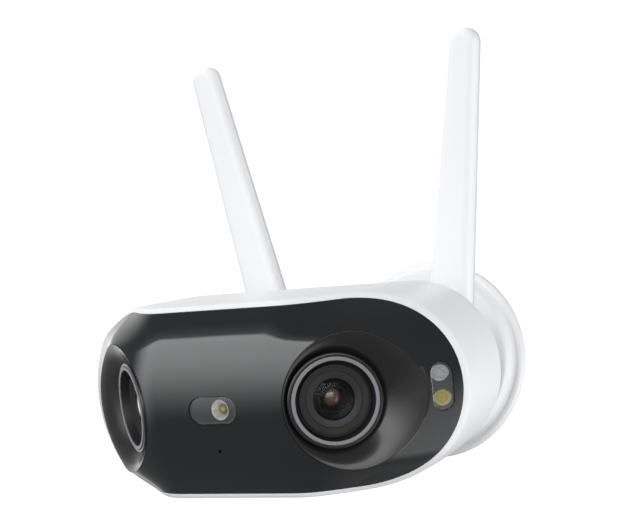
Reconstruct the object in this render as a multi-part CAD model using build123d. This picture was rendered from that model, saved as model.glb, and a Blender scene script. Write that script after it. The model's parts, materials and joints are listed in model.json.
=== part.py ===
"""Dual-lens wall camera with two paddle antennas on a swivelling wall bracket.

The wall is the plane Y = 0, the origin is the centre of the wall plate's back face,
the camera looks towards -Y and +Z is up. Lengths are millimetres and angles degrees.
The camera's own pieces are built in a camera frame, whose Y axis is the bracket arm's
axis, and are then placed by the bracket's pan and tilt at rest.
"""
from build123d import *
import os
from math import cos, radians, sin, sqrt

# ---- bracket pose at rest and its lengths -------------------------------------------
WALL_TO_PAN = 32.0
PAN_TO_TILT = 24.0
TILT_TO_FRONT = 130.0
PAN_REST = -4.0
TILT_REST = 9.0

# ---- housing: a pill outline with a domed front -------------------------------------
HALF_WIDTH = 93.9
HALF_HEIGHT = 40.0
REAR_HALF_WIDTH = 90.6
REAR_HALF_HEIGHT = 36.8
REAR_RISE = 2.6
HOUSING_REAR = 67.0
HOUSING_WALL = 3.4
LIP = 2.0
STRAIGHT_SECTIONS = (-24.0, 4.0, 26.0)
PAST = 100.0  # far enough to cut or cross any piece

FRONT_Y = -13.7
FRONT_STRAIGHT = 26.3
FRONT_ARC = 57.6
FRONT_END_ANGLE = 48.5
FRONT_DOME = 72.8
FRONT_REACH = 90.0

PANEL_DEPTH = 2.6
PANEL_REAR = 60.0
SEAM = 0.12

# ---- rear cover and electronics pod -------------------------------------------------
COVER_BACK = 71.2
COVER_INSET = 0.5
COVER_EDGE = 2.6
SCREW_X = 72.0
SCREW_Z = 17.0
SCREW_HEAD_R = 3.2
SCREW_HEAD_DEPTH = 2.2
SCREW_SHANK_R = 1.5
SCREW_LENGTH = 12.0
CROSS_HALF = 2.4
CROSS_WIDTH = 0.8
SEAL_OUT = 1.2
SEAL_IN = 2.8
POD_HALF_WIDTH = 54.0
POD_BOTTOM = -26.0
POD_TOP = 30.0
POD_BACK = 106.0
POD_WALL = 2.8
POD_CORNER = 10.0
POD_EDGE = 3.0
BOSS_RADIUS = 8.5
BOARD_FRONT = 55.0
BOARD_THICK = 1.6
CHIP_HALF = 10.0
CHIP_THICK = 2.6
SINK_FRONT = 57.0
SINK_BASE = 2.6
FIN_BACK = 66.2
FIN_COUNT = 12
FIN_PITCH = 8.0
FIN_HALF = 0.8
SPEAKER_X = 24.0
SPEAKER_WELL = 12.0
INLET_X = 30.0
INLET_Z = -13.0
INLET_RADIUS = 5.5
CARD_THICK = 1.0
CARD_WIDTH = 11.0
CARD_LENGTH = 15.0
KEY_X = 7.5
KEY_RADIUS = 1.75

# ---- lenses -------------------------------------------------------------------------
LENS_X = 50.8
LENS_Y = -0.6
LENS_Z = -1.5
LENS_TURN = 39.2
LENS_DROOP = 2.5
RING_OUTER = 17.8
RING_INNER = 16.2
RING_DEPTH = 3.2
SHOULDER_OUTER = 19.4
SHOULDER_BACK = -9.0
RIM_RADIUS = 26.4
RIM_OFFSET = 3.5
RIM_RISE = 0.4
RIM_HEIGHT = 1.25
FUNNEL_FLOOR = -3.2
RIM_LAND = 0.8
BEZEL_FLANGE = 0.8
BEZEL_GAP = 0.25
BAFFLE_OUTER = 14.0
BARREL_FRONT = 11.3
GLASS_RADIUS = 8.3
BARREL_BACK = -22.0
BARREL_STEP = -14.0
BARREL_REAR_R = 9.4
LENS_BORE = 6.2
GLASS_BALL = 13.4
GLASS_CENTRE = -17.4
SENSOR_BOARD = (24.0, 24.0, 1.6)
SENSOR_CHIP = (8.0, 7.0, 1.6)

# ---- windows and microphone in the front panel --------------------------------------
STATUS_WIDTH = 22.6
STATUS_HEIGHT = 10.9
STATUS_Z = -1.8
LED_X = 3.2
CUP_RADIUS = 4.1
MIC_Z = -19.0
MIC_RADIUS = 0.7
SIDE_X = 85.6
SIDE_Y = 24.1
SIDE_Z = -0.6
SIDE_TURN = 48.8
SIDE_HEIGHT = 19.2
SIDE_WIDTH = 9.5
SIDE_LED_SPREAD = 5.1
WINDOW_DEPTH = 3.6
SIDE_DEPTH = 1.6
GLAZING_SETBACK = 0.25
HOLDER_DEPTH = 6.0
CUP_DEPTH = 3.8
CUP_FLOOR_R = 2.0
LED_RADIUS = 1.3
EYE_X = -6.0
EYE_SENSOR_R = 2.5
LAMP_RADIUS = 3.9
LAMP_DEPTH = 3.0

# ---- antennas -----------------------------------------------------------------------
ANTENNA_X = 44.5
ANTENNA_Z = 8.0
ANTENNA_FRONT = 108.3
ANTENNA_SPLIT = 114.4
ANTENNA_BACK = 117.2
ANTENNA_REACH = 133.0
ANTENNA_BASE_R = 10.5
ANTENNA_TIP_R = 6.3
ANTENNA_LEANS = {"left": -11.2, "right": 10.0}
ANTENNA_WALL = 1.8
PIN_RADIUS = 3.0
RUNNING = 0.05
FACE_GAP = 0.3
CAP_RADIUS = 4.6
CAP_THICK = 1.5

# ---- bracket ------------------------------------------------------------------------
PLATE_RADIUS = 48.0
PLATE_THICK = 5.0
GASKET_THICK = 1.0
DISC_RADIUS = 43.8
DISC_FRONT = 13.6
DISC_WALL = 2.2
BOLT_CIRCLE = 66.0
BOLT_HOLE = 2.3
SHAFT_RADIUS = 11.0
BUSH_RADIUS = 15.0
TONGUE_HALF = 6.0
EAR_OUTER = 12.0
EYE_RADIUS = 10.0
BRACKET_PIN = 3.5
PIN_HEAD_R = 6.0
PIN_HEAD = 3.0
NECK_HALF = 9.0
COLLAR_RADIUS = 14.0
YOKE_WEB = 12.0

# ---- service door on the pod's underside --------------------------------------------
DOOR_WIDTH = 24.0
DOOR_LENGTH = 14.0
DOOR_THICK = 1.8
DOOR_X = -22.0
DOOR_Y = 88.0

TO_YOKE = Pos(0, -WALL_TO_PAN, 0) * Rot(0, 0, PAN_REST)
TO_ARM = TO_YOKE * Pos(0, -PAN_TO_TILT, 0) * Rot(TILT_REST, 0, 0)
TO_CAMERA = TO_ARM * Pos(0, -TILT_TO_FRONT, 0)


def behind_front(setback):
    """Everything behind the domed front, a vertical arc swept along straight, arc and straight."""
    reach_z = HALF_HEIGHT + 6.0
    reach_arc = FRONT_ARC - FRONT_DOME + sqrt(FRONT_DOME**2 - reach_z**2)
    top = (reach_arc, reach_z)
    foot = (reach_arc, -reach_z)
    bow = ThreePointArc(foot, (FRONT_ARC, 0), top)
    sides = Polyline([top, (0, reach_z), (0, -reach_z), foot])
    region = make_face([bow, sides])
    hinge = Vector(FRONT_STRAIGHT, FRONT_Y + FRONT_ARC, 0)
    ahead = Plane(origin=hinge, x_dir=(0, -1, 0), z_dir=(-1, 0, 0))
    angle = radians(FRONT_END_ANGLE)
    outward = Plane(origin=hinge, x_dir=(sin(angle), -cos(angle), 0), z_dir=(cos(angle), sin(angle), 0))
    middle = extrude(ahead * region, amount=2 * FRONT_STRAIGHT)
    corner = revolve(ahead * region, Axis(hinge, (0, 0, 1)), FRONT_END_ANGLE)
    end = extrude(outward * region, amount=FRONT_REACH)
    back_x = FRONT_STRAIGHT + FRONT_REACH * cos(angle)
    back_y = hinge.Y + FRONT_REACH * sin(angle)
    corners = [(-FRONT_STRAIGHT, hinge.Y), (FRONT_STRAIGHT, hinge.Y), (back_x, back_y), (-back_x, back_y)]
    filler = Plane.XY.offset(-reach_z) * make_face(Polyline(corners, close=True))
    rest = extrude(filler, amount=2 * reach_z)
    whole = middle + corner + twin(corner) + end + twin(end) + rest
    return Pos(0, setback, 0) * whole


def pill(half_width, half_height, y, rise=0.0):
    """Pill-shaped face in the plane at y, seen from the front."""
    return Plane.XZ.offset(-y) * Pos(0, rise) * SlotOverall(2 * half_width, 2 * half_height)


def housing_body(inset):
    """The housing's outside, moved in by inset: straight in front, drawn in towards the rear."""
    sections = []
    for y in STRAIGHT_SECTIONS:
        sections.append(pill(HALF_WIDTH - inset, HALF_HEIGHT - inset, y))
    rear = pill(REAR_HALF_WIDTH - inset, REAR_HALF_HEIGHT - inset, HOUSING_REAR, REAR_RISE)
    sections.append(rear)
    return loft(sections)


def rod(radius, start, stop, at=(0, 0), axis="Y"):
    """Cylinder along one axis from start to stop; at gives the other two coordinates."""
    length = stop - start
    middle = (start + stop) / 2
    if axis == "Y":
        return Pos(at[0], middle, at[1]) * Rot(90, 0, 0) * Cylinder(radius, length)
    if axis == "X":
        return Pos(middle, at[0], at[1]) * Rot(0, 90, 0) * Cylinder(radius, length)
    return Pos(at[0], at[1], middle) * Cylinder(radius, length)


def block(x, y, z):
    """Box from low and high limits on each axis."""
    size = Box(x[1] - x[0], y[1] - y[0], z[1] - z[0])
    return Pos((x[0] + x[1]) / 2, (y[0] + y[1]) / 2, (z[0] + z[1]) / 2) * size


def twin(shape):
    """The same piece on the camera's other side."""
    return mirror(shape, about=Plane.YZ)


# ---- lens pieces, in a frame whose Z axis is the lens axis and whose X points outward --
turn = radians(LENS_TURN)
droop = radians(LENS_DROOP)
LENS_AXIS = (sin(turn) * cos(droop), -cos(turn) * cos(droop), -sin(droop))
LENS_PLACE = Plane(origin=(LENS_X, LENS_Y, LENS_Z), x_dir=(cos(turn), sin(turn), 0), z_dir=LENS_AXIS)


def disc(radius, low, high):
    """Disc on the lens axis between two heights."""
    return Pos(0, 0, (low + high) / 2) * Cylinder(radius, high - low)


def funnel(grow, floor=FUNNEL_FLOOR):
    """Oblique cone from the shoulder out past the housing's front, grown by grow."""
    reach = 3.0
    run = RIM_HEIGHT - FUNNEL_FLOOR
    low = SHOULDER_OUTER + grow
    high = low + (RIM_RADIUS + grow - low) * reach
    floor_ring = Pos(0, 0, floor) * Circle(low)
    rim_ring = Pos(RIM_OFFSET * reach, RIM_RISE * reach, floor + run * reach) * Circle(high)
    return loft([floor_ring, rim_ring], ruled=True)


def lens_bezel(front, under_panel):
    """Dish round the lens: a thin rim flush with the panel and a flange glued behind it."""
    rim = (LENS_PLACE * funnel(RIM_LAND)) & front
    flange = (LENS_PLACE * funnel(RIM_LAND + 0.4, FUNNEL_FLOOR - BEZEL_FLANGE)) & under_panel
    hub = LENS_PLACE * disc(SHOULDER_OUTER + RIM_LAND, FUNNEL_FLOOR - 4.0, FUNNEL_FLOOR)
    bore = LENS_PLACE * disc(SHOULDER_OUTER + SEAM, FUNNEL_FLOOR - 6.0, 30.0)
    return rim + flange + hub - LENS_PLACE * funnel(0) - bore - side_pill(FACE_GAP, -12, 4)


def lens_ring():
    ring = disc(RING_OUTER, -RING_DEPTH, 0) - disc(RING_INNER, -RING_DEPTH, 1.0)
    return LENS_PLACE * fillet(ring.edges().group_by(Axis.Z)[-1], 0.6)


def lens_shoulder():
    body = disc(SHOULDER_OUTER, SHOULDER_BACK, -0.5)
    body = fillet(body.edges().group_by(Axis.Z)[-1], 0.7)
    seat = disc(RING_OUTER + SEAM, -RING_DEPTH - 0.1, 1.0)
    return LENS_PLACE * (body - seat - disc(RING_INNER, SHOULDER_BACK - 1.0, 0.0))


def lens_baffle():
    cup = disc(RING_INNER - SEAM, -8.0, -2.4)
    cone = Pos(0, 0, -3.7) * Cone(BARREL_FRONT + 0.2, BAFFLE_OUTER, 2.6)
    return LENS_PLACE * (cup - cone - disc(BARREL_FRONT + SEAM, -9.0, -4.9))


def lens_barrel():
    tube = disc(BARREL_FRONT, BARREL_STEP, -5.0) + disc(BARREL_REAR_R, BARREL_BACK, BARREL_STEP)
    seat = disc(GLASS_RADIUS + SEAM, -9.0, -4.0)
    return LENS_PLACE * (tube - seat - disc(LENS_BORE, BARREL_BACK - 1.0, -8.0))


def lens_glass():
    dome = Pos(0, 0, GLASS_CENTRE) * Sphere(GLASS_BALL)
    return LENS_PLACE * (disc(GLASS_RADIUS, -8.6, -3.5) & dome)


def sensor_board():
    return LENS_PLACE * Pos(0, 0, BARREL_BACK - SENSOR_BOARD[2] / 2) * Box(*SENSOR_BOARD)


def image_sensor():
    return LENS_PLACE * Pos(0, 0, BARREL_BACK + SENSOR_CHIP[2] / 2 + 0.1) * Box(*SENSOR_CHIP)


# ---- side window ---------------------------------------------------------------------
side_turn = radians(SIDE_TURN)
SIDE_PLACE = Plane(
    origin=(SIDE_X, SIDE_Y, SIDE_Z),
    x_dir=(cos(side_turn), sin(side_turn), 0),
    z_dir=(sin(side_turn), -cos(side_turn), 0),
)


def side_pill(grow, low, high):
    outline = SlotOverall(SIDE_HEIGHT + 2 * grow, SIDE_WIDTH + 2 * grow, rotation=90)
    return SIDE_PLACE * Pos(0, 0, low) * extrude(outline, amount=high - low)


def status_pill(grow, front, back):
    outline = SlotOverall(STATUS_WIDTH + 2 * grow, STATUS_HEIGHT + 2 * grow)
    return extrude(Plane.XZ.offset(-back) * Pos(0, STATUS_Z) * outline, amount=back - front)


def camera_front(nodes):
    """Housing shell, dark front panel and the lens and window pieces set into it."""
    front = behind_front(0.0)
    seat = behind_front(PANEL_DEPTH + SEAM)
    panel_outline = pill(HALF_WIDTH - LIP, HALF_HEIGHT - LIP, PANEL_REAR)
    panel_well = extrude(panel_outline, amount=PAST) - seat
    cavity = housing_body(HOUSING_WALL) & seat
    nodes["front_housing"] = (housing_body(0.0) & front) - panel_well - cavity
    well_radius = SHOULDER_OUTER + RIM_LAND + BEZEL_GAP
    bezel_well = funnel(RIM_LAND + BEZEL_GAP) + disc(well_radius, FUNNEL_FLOOR - 6.0, FUNNEL_FLOOR)
    bezel_well = LENS_PLACE * bezel_well
    panel = extrude(pill(HALF_WIDTH - LIP - SEAM, HALF_HEIGHT - LIP - SEAM, PANEL_REAR), amount=PAST)
    panel = panel - bezel_well - twin(bezel_well)
    panel = panel - status_pill(SEAM, -PAST, PAST) - side_pill(SEAM, -PAST, PAST)
    panel = panel - rod(MIC_RADIUS, -PAST, PAST, (0, MIC_Z))
    nodes["front_panel"] = (panel & front) - behind_front(PANEL_DEPTH)
    recessed = behind_front(GLAZING_SETBACK)
    nodes["status_window"] = status_pill(0, -PAST, FRONT_Y + WINDOW_DEPTH) & recessed
    nodes["side_window"] = side_pill(0, -SIDE_DEPTH, 10) & recessed
    bezel = lens_bezel(front, seat)
    pairs = {
        "lens_bezel": bezel,
        "lens_ring": lens_ring(),
        "lens_shoulder": lens_shoulder(),
        "lens_baffle": lens_baffle(),
        "lens_barrel": lens_barrel(),
        "lens_glass": lens_glass(),
    }
    for name, right in pairs.items():
        nodes[name + "_right"] = right
        nodes[name + "_left"] = twin(right)
    nodes["sensor_boards"] = Compound([sensor_board(), twin(sensor_board())])
    nodes["image_sensors"] = Compound([image_sensor(), twin(image_sensor())])


def front_electronics(nodes):
    """Light sources, light sensor, microphone and their small boards."""
    holder_front = FRONT_Y + WINDOW_DEPTH + 0.1
    holder_back = holder_front + HOLDER_DEPTH
    holder = status_pill(0.6, holder_front, holder_back)
    cup = Cone(CUP_FLOOR_R, CUP_RADIUS, CUP_DEPTH)
    cup = Pos(LED_X, holder_front + CUP_DEPTH / 2, STATUS_Z) * Rot(90, 0, 0) * cup
    sensor_well = rod(EYE_SENSOR_R + 0.1, holder_front - 0.1, holder_front + 2.1, (EYE_X, STATUS_Z))
    nodes["status_holder"] = holder - cup - sensor_well
    nodes["status_led"] = rod(LED_RADIUS, holder_front + 2.2, holder_front + CUP_DEPTH, (LED_X, STATUS_Z))
    nodes["light_sensor"] = rod(EYE_SENSOR_R, holder_front + 0.6, holder_front + 2.1, (EYE_X, STATUS_Z))
    lamp = disc(LAMP_RADIUS, -SIDE_DEPTH - 0.1 - LAMP_DEPTH, -SIDE_DEPTH - 0.1)
    nodes["side_lamp_cool"] = SIDE_PLACE * Pos(0, SIDE_LED_SPREAD, 0) * lamp
    nodes["side_lamp_amber"] = SIDE_PLACE * Pos(0, -SIDE_LED_SPREAD, 0) * lamp
    status_board = block((-14, 14), (holder_back + 0.1, holder_back + 1.5), (-26, 8))
    side_board = SIDE_PLACE * Pos(0, 0, -SIDE_DEPTH - 3.9) * Box(8, 19, 1.4)
    nodes["lamp_boards"] = Compound([status_board, side_board])
    mic_back = holder_back + 0.1
    nodes["microphone"] = rod(3.2, mic_back - 3.0, mic_back, (0, MIC_Z))


def rear_case(nodes):
    """Rear cover with its pod, seal, screws, boards, heat sink and connectors."""
    plate_face = pill(REAR_HALF_WIDTH - COVER_INSET, REAR_HALF_HEIGHT - COVER_INSET, COVER_BACK, REAR_RISE)
    plate = extrude(plate_face, amount=COVER_BACK - HOUSING_REAR - FACE_GAP)
    plate = fillet(plate.edges().group_by(Axis.Y)[-1], COVER_EDGE)
    pod = block((-POD_HALF_WIDTH, POD_HALF_WIDTH), (COVER_BACK - 2.0, POD_BACK), (POD_BOTTOM, POD_TOP))
    pod = fillet(pod.edges().filter_by(Axis.Y), POD_CORNER)
    pod = fillet(pod.edges().group_by(Axis.Y)[-1], POD_EDGE)
    inner_x = POD_HALF_WIDTH - POD_WALL
    hollow = block(
        (-inner_x, inner_x),
        (HOUSING_REAR - 1.0, POD_BACK - POD_WALL),
        (POD_BOTTOM + POD_WALL, POD_TOP - POD_WALL),
    )
    hollow = fillet(hollow.edges().filter_by(Axis.Y), POD_CORNER - POD_WALL)
    case = plate + pod - hollow
    for side in (-1, 1):
        boss = rod(BOSS_RADIUS, POD_BACK - 1.0, ANTENNA_FRONT - FACE_GAP, (side * ANTENNA_X, ANTENNA_Z))
        pin_hole = rod(PIN_RADIUS, POD_BACK - 6.0, ANTENNA_BACK, (side * ANTENNA_X, ANTENNA_Z))
        case = case + boss - pin_hole
    case = case - rod(BUSH_RADIUS, POD_BACK - 6.0, POD_BACK + 1.0)
    door_x = (DOOR_X - DOOR_WIDTH / 2 - FACE_GAP, DOOR_X + DOOR_WIDTH / 2 + FACE_GAP)
    door_y = (DOOR_Y - DOOR_LENGTH / 2 - FACE_GAP, DOOR_Y + DOOR_LENGTH / 2 + FACE_GAP)
    case = case - block(door_x, door_y, (POD_BOTTOM - 1.0, POD_BOTTOM + POD_WALL + 1.0))
    case = case - rod(SPEAKER_WELL, POD_BOTTOM - 1.0, POD_BOTTOM + POD_WALL + 1.0, (SPEAKER_X, DOOR_Y), "Z")
    case = case - rod(INLET_RADIUS, POD_BACK - 6.0, POD_BACK + 1.0, (INLET_X, INLET_Z))
    screws = []
    seat = COVER_BACK - SCREW_HEAD_DEPTH
    half = CROSS_WIDTH / 2
    for x in (-SCREW_X, SCREW_X):
        for z in (REAR_RISE - SCREW_Z, REAR_RISE + SCREW_Z):
            case = case - rod(SCREW_HEAD_R + 0.2, seat, COVER_BACK + 1.0, (x, z))
            case = case - rod(SCREW_SHANK_R + 0.1, HOUSING_REAR, COVER_BACK, (x, z))
            head = rod(SCREW_HEAD_R, seat, COVER_BACK - 0.6, (x, z))
            slot = block((x - CROSS_HALF, x + CROSS_HALF), (COVER_BACK - 1.3, COVER_BACK), (z - half, z + half))
            cross_z = (z - CROSS_HALF, z + CROSS_HALF)
            cross = block((x - half, x + half), (COVER_BACK - 1.3, COVER_BACK), cross_z)
            shank = rod(SCREW_SHANK_R, HOUSING_REAR - SCREW_LENGTH, COVER_BACK - 2.0, (x, z))
            screws.append(head + shank - slot - cross)
    nodes["rear_housing"] = case
    nodes["cover_screws"] = Compound(screws)
    seal_back = HOUSING_REAR + FACE_GAP
    seal_outer = pill(REAR_HALF_WIDTH - SEAL_OUT, REAR_HALF_HEIGHT - SEAL_OUT, seal_back, REAR_RISE)
    seal_inner = pill(REAR_HALF_WIDTH - SEAL_IN, REAR_HALF_HEIGHT - SEAL_IN, seal_back, REAR_RISE)
    nodes["housing_seal"] = extrude(seal_outer, amount=FACE_GAP) - extrude(seal_inner, amount=FACE_GAP)
    nodes["main_board"] = block((-58, 58), (BOARD_FRONT, BOARD_FRONT + BOARD_THICK), (-27, 30))
    nodes["processor"] = block((-CHIP_HALF, CHIP_HALF), (BOARD_FRONT - CHIP_THICK, BOARD_FRONT), (-8, 12))
    fin_front = SINK_FRONT + SINK_BASE
    sink = block((-46, 46), (SINK_FRONT, fin_front), (-20, 26))
    for k in range(FIN_COUNT):
        x = FIN_PITCH * (k - (FIN_COUNT - 1) / 2)
        sink = sink + block((x - FIN_HALF, x + FIN_HALF), (fin_front, FIN_BACK), (-20, 26))
    nodes["heat_sink"] = sink


def pod_pieces(nodes):
    """Speaker, power inlet, card slot, reset key and service door in the pod."""
    grille = rod(SPEAKER_WELL - 0.1, POD_BOTTOM, POD_BOTTOM + 1.6, (SPEAKER_X, DOOR_Y), "Z")
    for ring, count in ((0.0, 1), (3.6, 6), (7.2, 12)):
        for k in range(count):
            angle = radians(360.0 * k / count)
            at = (SPEAKER_X + ring * cos(angle), DOOR_Y + ring * sin(angle))
            grille = grille - rod(0.8, POD_BOTTOM - 1.0, POD_BOTTOM + 3.0, at, "Z")
    nodes["speaker_grille"] = grille
    magnet = rod(6.0, POD_BOTTOM + 4.6, POD_BOTTOM + 7.6, (SPEAKER_X, DOOR_Y), "Z")
    basket = rod(SPEAKER_WELL - 0.5, POD_BOTTOM + 1.8, POD_BOTTOM + 4.6, (SPEAKER_X, DOOR_Y), "Z")
    nodes["speaker"] = basket + magnet
    inlet_at = (INLET_X, INLET_Z)
    inlet = rod(INLET_RADIUS - 0.1, POD_BACK - 12.0, POD_BACK - 0.4, inlet_at)
    inlet = inlet - rod(INLET_RADIUS - 2.7, POD_BACK - 9.5, POD_BACK, inlet_at)
    nodes["power_inlet"] = inlet + rod(1.0, POD_BACK - 10.0, POD_BACK - 1.5, inlet_at)
    card_x = (DOOR_X - 9.5, DOOR_X - 9.5 + CARD_WIDTH)
    card_z = (POD_BOTTOM + 5.4, POD_BOTTOM + 5.4 + CARD_LENGTH)
    nodes["memory_card"] = block(card_x, (DOOR_Y - CARD_THICK / 2, DOOR_Y + CARD_THICK / 2), card_z)
    socket = block(
        (card_x[0] - 1.5, card_x[1] + 1.5), (DOOR_Y - 1.8, DOOR_Y + 1.8), (card_z[0] + 3.5, card_z[1] + 2.0)
    )
    slot = block(
        (card_x[0] - 0.1, card_x[1] + 0.1), (DOOR_Y - 0.6, DOOR_Y + 0.6), (card_z[0], card_z[1] + 0.3)
    )
    nodes["card_socket"] = socket - slot
    key_at = (DOOR_X + KEY_X, DOOR_Y)
    key_low = POD_BOTTOM + 5.0
    nodes["reset_key"] = rod(KEY_RADIUS, key_low, key_low + 3.6, key_at, "Z")
    switch = block(
        (key_at[0] - 3.2, key_at[0] + 3.2), (DOOR_Y - 3.2, DOOR_Y + 3.2), (key_low + 1.2, key_low + 6.0)
    )
    nodes["reset_switch"] = switch - rod(KEY_RADIUS + RUNNING, key_low, key_low + 4.4, key_at, "Z")
    door = block(
        (DOOR_X - DOOR_WIDTH / 2, DOOR_X + DOOR_WIDTH / 2),
        (DOOR_Y - DOOR_LENGTH / 2, DOOR_Y + DOOR_LENGTH / 2),
        (POD_BOTTOM, POD_BOTTOM + DOOR_THICK),
    )
    nodes["service_door"] = fillet(door.edges().filter_by(Axis.Z), 2.0)


def paddle(inset, front, back, foot=True):
    """Tapered antenna blade between two depths, with its pivot at the origin."""
    base = Circle(ANTENNA_BASE_R - inset)
    tip = Pos(0, ANTENNA_REACH) * Circle(ANTENNA_TIP_R - inset)
    outline = make_hull(base.edges() + tip.edges())
    blade = extrude(Plane.XZ.offset(-back) * outline, amount=back - front)
    return blade if foot else blade - rod(6.5, front - 1.0, back + 1.0)


def antenna(nodes, name, side):
    """Front and back shells, the strip inside and the pivot pin of one antenna."""
    place = Pos(side * ANTENNA_X, 0, ANTENNA_Z) * Rot(0, ANTENNA_LEANS[name], 0)
    bore = rod(PIN_RADIUS + RUNNING, ANTENNA_FRONT - 1.0, ANTENNA_BACK + 1.0)
    shell = paddle(0, ANTENNA_FRONT, ANTENNA_SPLIT)
    shell = fillet(shell.edges().group_by(Axis.Y)[0], 3.2)
    hollow = paddle(ANTENNA_WALL, ANTENNA_FRONT + 2.0, ANTENNA_SPLIT, foot=False)
    nodes["antenna_front_" + name] = place * (shell - hollow - bore)
    lid = paddle(0.15, ANTENNA_SPLIT, ANTENNA_BACK)
    lid = fillet(lid.edges().group_by(Axis.Y)[-1], 1.4)
    nodes["antenna_back_" + name] = place * (lid - bore)
    strip = block((-3.0, 3.0), (ANTENNA_SPLIT - 2.4, ANTENNA_SPLIT - 1.6), (14.0, ANTENNA_REACH - 6.0))
    nodes["radiator_" + name] = place * strip
    pin = rod(PIN_RADIUS, POD_BACK - 5.0, ANTENNA_BACK + FACE_GAP, (side * ANTENNA_X, ANTENNA_Z))
    cap_front = ANTENNA_BACK + FACE_GAP
    cap = rod(CAP_RADIUS, cap_front, cap_front + CAP_THICK, (side * ANTENNA_X, ANTENNA_Z))
    nodes["antenna_pin_" + name] = pin + cap


def bracket(nodes):
    """Wall plate, gasket, disc cover, yoke, arm, bush and the two pins, each in its own frame."""
    plate = Pos(0, -GASKET_THICK - PLATE_THICK / 2, 0) * Rot(90, 0, 0) * Cylinder(PLATE_RADIUS, PLATE_THICK)
    plate = fillet(plate.edges().group_by(Axis.Y)[0], 2.4)
    gasket = rod(PLATE_RADIUS - 2.0, -GASKET_THICK, 0)
    for k in range(3):
        angle = radians(90.0 + 120.0 * k)
        at = (BOLT_CIRCLE / 2 * cos(angle), BOLT_CIRCLE / 2 * sin(angle))
        plate = plate - rod(BOLT_HOLE, -20, 1, at)
        gasket = gasket - rod(BOLT_HOLE + 0.8, -20, 1, at)
    pan_y = -WALL_TO_PAN
    neck = block((-NECK_HALF, NECK_HALF), (pan_y + EYE_RADIUS, -GASKET_THICK - 1.0), (-EAR_OUTER, EAR_OUTER))
    foot = plate + neck
    for low, high in ((-EAR_OUTER, -TONGUE_HALF - FACE_GAP), (TONGUE_HALF + FACE_GAP, EAR_OUTER)):
        foot = foot + rod(NECK_HALF, low, high, (0, pan_y), "Z")
        foot = foot + block((-NECK_HALF, NECK_HALF), (pan_y, pan_y + EYE_RADIUS + 1.0), (low, high))
    nodes["wall_plate"] = foot - rod(BRACKET_PIN, -20, 20, (0, pan_y), "Z")
    nodes["wall_gasket"] = gasket
    disc_back = -GASKET_THICK - PLATE_THICK - SEAM
    profile = [(0, disc_back), (DISC_RADIUS - 1.4, disc_back), (DISC_RADIUS, -DISC_FRONT), (0, -DISC_FRONT)]
    cover = revolve(make_face(Polyline(profile, close=True)), Axis.Y, 360)
    cover = fillet(cover.edges().group_by(Axis.Y)[0], 1.6)
    hollow = rod(DISC_RADIUS - 3.6, disc_back - 10.0 + DISC_WALL + 0.3, disc_back + 1.0)
    window = block((-NECK_HALF - SEAM, NECK_HALF + SEAM), (-PAST, PAST), (-EAR_OUTER - SEAM, EAR_OUTER + SEAM))
    nodes["plate_cover"] = cover - (hollow & rod(DISC_RADIUS, -DISC_FRONT + DISC_WALL, 5.0)) - window
    pin_head = rod(PIN_HEAD_R, EAR_OUTER, EAR_OUTER + PIN_HEAD, (0, pan_y), "Z")
    nodes["pan_pin"] = rod(BRACKET_PIN, -EAR_OUTER, EAR_OUTER, (0, pan_y), "Z") + pin_head
    yoke = rod(NECK_HALF, -TONGUE_HALF, TONGUE_HALF, (0, 0), "Z")
    yoke = yoke + block((-EAR_OUTER, EAR_OUTER), (-YOKE_WEB - 1.2, -YOKE_WEB + 2.0), (-EYE_RADIUS, EYE_RADIUS))
    yoke = yoke + block((-NECK_HALF, NECK_HALF), (-YOKE_WEB, 0), (-TONGUE_HALF, TONGUE_HALF))
    for low, high in ((-EAR_OUTER, -TONGUE_HALF - FACE_GAP), (TONGUE_HALF + FACE_GAP, EAR_OUTER)):
        yoke = yoke + rod(EYE_RADIUS, low, high, (-PAN_TO_TILT, 0), "X")
        yoke = yoke + block((low, high), (-PAN_TO_TILT, -YOKE_WEB), (-EYE_RADIUS, EYE_RADIUS))
    yoke = yoke - rod(BRACKET_PIN + RUNNING, -20, 20, (0, 0), "Z")
    nodes["pan_yoke"] = TO_YOKE * (yoke - rod(BRACKET_PIN, -20, 20, (-PAN_TO_TILT, 0), "X"))
    pin = rod(BRACKET_PIN, -EAR_OUTER, EAR_OUTER, (-PAN_TO_TILT, 0), "X")
    pin = pin + rod(PIN_HEAD_R, EAR_OUTER, EAR_OUTER + PIN_HEAD, (-PAN_TO_TILT, 0), "X")
    nodes["tilt_pin"] = TO_YOKE * pin
    arm = rod(SHAFT_RADIUS, POD_BACK - 8.0, TILT_TO_FRONT - 16.0)
    arm = arm + rod(COLLAR_RADIUS, POD_BACK - 8.0, POD_BACK - 4.3)
    arm = arm + rod(COLLAR_RADIUS, POD_BACK + 3.3, POD_BACK + 7.0)
    arm = arm + block((-TONGUE_HALF, TONGUE_HALF), (TILT_TO_FRONT - 17.0, TILT_TO_FRONT), (-9.5, 9.5))
    arm = arm + rod(9.5, -TONGUE_HALF, TONGUE_HALF, (TILT_TO_FRONT, 0), "X")
    arm = arm - rod(BRACKET_PIN + RUNNING, -20, 20, (TILT_TO_FRONT, 0), "X")
    nodes["tilt_arm"] = TO_CAMERA * arm
    bush = rod(BUSH_RADIUS - 0.02, POD_BACK - 4.0, POD_BACK + 1.0)
    bush = bush + rod(BUSH_RADIUS + 2.0, POD_BACK + 0.1, POD_BACK + 3.0)
    nodes["roll_bush"] = TO_CAMERA * (bush - rod(SHAFT_RADIUS + RUNNING, POD_BACK - 5.0, POD_BACK + 4.0))


camera_nodes = {}
camera_front(camera_nodes)
front_electronics(camera_nodes)
rear_case(camera_nodes)
pod_pieces(camera_nodes)
antenna(camera_nodes, "left", -1)
antenna(camera_nodes, "right", 1)

all_nodes = {}
bracket(all_nodes)
for node, shape in camera_nodes.items():
    all_nodes[node] = TO_CAMERA * shape

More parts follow.
